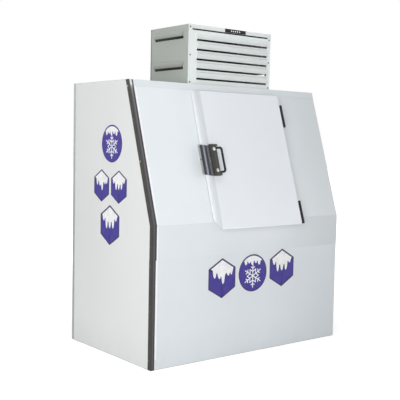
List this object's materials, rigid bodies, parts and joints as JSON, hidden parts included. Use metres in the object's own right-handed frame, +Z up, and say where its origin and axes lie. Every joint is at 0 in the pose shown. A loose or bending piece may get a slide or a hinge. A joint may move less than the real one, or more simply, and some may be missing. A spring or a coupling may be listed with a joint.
{
  "type": "ice merchandiser",
  "caption": "White steel ice merchandiser with a leaning front, one hinged insulated door with a D handle, and a louvred cooling unit on its roof.",
  "frame": {"origin": "centre of the cabinet's footprint, on the floor", "axes": "+Z up; +X to the right of someone who stands before it; the door faces -Y"},
  "size_m": [1.6293, 1.06, 2.172],
  "materials": {
    "white_paint": "satin powder coat",
    "side_paint": "satin powder coat",
    "housing_paint": "satin powder coat",
    "trim_steel": "dark satin",
    "galvanised": "zinc coated",
    "liner_steel": "brushed",
    "foam": "rigid foam",
    "white_plastic": "moulded",
    "gasket_rubber": "soft",
    "black_metal": "black satin",
    "bright_steel": "bright",
    "compressor_black": "black enamel",
    "copper": "drawn copper",
    "aluminium_fin": "mill"
  },
  "bodies": {
    "cabinet": {"left_side_panel": "side_paint", "right_side_panel": "side_paint", "roof_panel": "white_paint", "lower_front_panel": "white_paint", "slanted_front_panel": "white_paint", "housing_front_panel": "housing_paint", "housing_rear_panel": "housing_paint", "housing_left_panel": "housing_paint", "housing_right_panel": "housing_paint", "housing_lid": "housing_paint", "upper_corner_trim": "trim_steel", "lower_corner_trim": "trim_steel", "base_frame": "galvanised", "rear_panel": "galvanised", "housing_base": "galvanised", "fan_shroud": "galvanised", "control_box": "galvanised", "floor_rack": "galvanised", "left_liner": "liner_steel", "right_liner": "liner_steel", "floor_liner": "liner_steel", "lower_front_liner": "liner_steel", "rear_liner": "liner_steel", "ceiling_liner": "liner_steel", "slanted_front_liner": "liner_steel", "evaporator_case": "liner_steel", "drain_pan": "liner_steel", "left_insulation": "foam", "right_insulation": "foam", "floor_insulation": "foam", "lower_front_insulation": "foam", "rear_insulation": "foam", "roof_insulation": "foam", "slanted_front_insulation": "foam", "door_breaker": "white_plastic", "drain_tube": "white_plastic", "upper_hinge_frame_leaf": "black_metal", "lower_hinge_frame_leaf": "black_metal", "condenser_fan_motor": "black_metal", "evaporator_fan_motor": "black_metal", "strike_plate": "bright_steel", "compressor": "compressor_black", "receiver": "compressor_black", "discharge_line": "copper", "suction_line": "copper", "liquid_line": "copper", "condenser_coil": "aluminium_fin", "evaporator_coil": "aluminium_fin"},
    "door": {"door_outer_pan": "white_paint", "door_insulation": "foam", "door_inner_liner": "white_plastic", "door_gasket": "gasket_rubber", "upper_hinge_door_leaf": "black_metal", "lower_hinge_door_leaf": "black_metal", "latch_body": "black_metal"},
    "handle": {"latch_handle": "black_metal"},
    "tongue": {"latch_tongue": "bright_steel"},
    "fan": {"condenser_fan": "aluminium_fin"},
    "cold_fan": {"evaporator_fan": "white_plastic"}
  },
  "joints": [
    {"name": "door_hinge", "type": "hinge", "parent": "cabinet", "child": "door", "pos_m": [0.394, -0.55765, 0.84805], "axis": [0, 0.3063, 0.952], "range_deg": [0, 110]},
    {"name": "handle_pivot", "type": "hinge", "parent": "door", "child": "handle", "pos_m": [-0.283, -0.43775, 1.28376], "axis": [0, -0.3063, -0.952], "range_deg": [0, 25], "stiffness_Nm_per_rad": 1.5},
    {"name": "tongue_slide", "type": "slide", "parent": "door", "child": "tongue", "axis": [1, 0, 0], "range_m": [0, 0.008]},
    {"name": "fan_spin", "type": "hinge", "parent": "cabinet", "child": "fan", "pos_m": [-0.073, -0.0445, 1.9639], "axis": [0, 1, 0], "continuous": true},
    {"name": "cold_fan_spin", "type": "hinge", "parent": "cabinet", "child": "cold_fan", "pos_m": [0.047, 0.1685, 1.5987], "axis": [0, 1, 0], "continuous": true}
  ],
  "couplings": [
    {"joint": "tongue_slide", "follows": "handle_pivot", "m_per_rad": 0.01833}
  ]
}
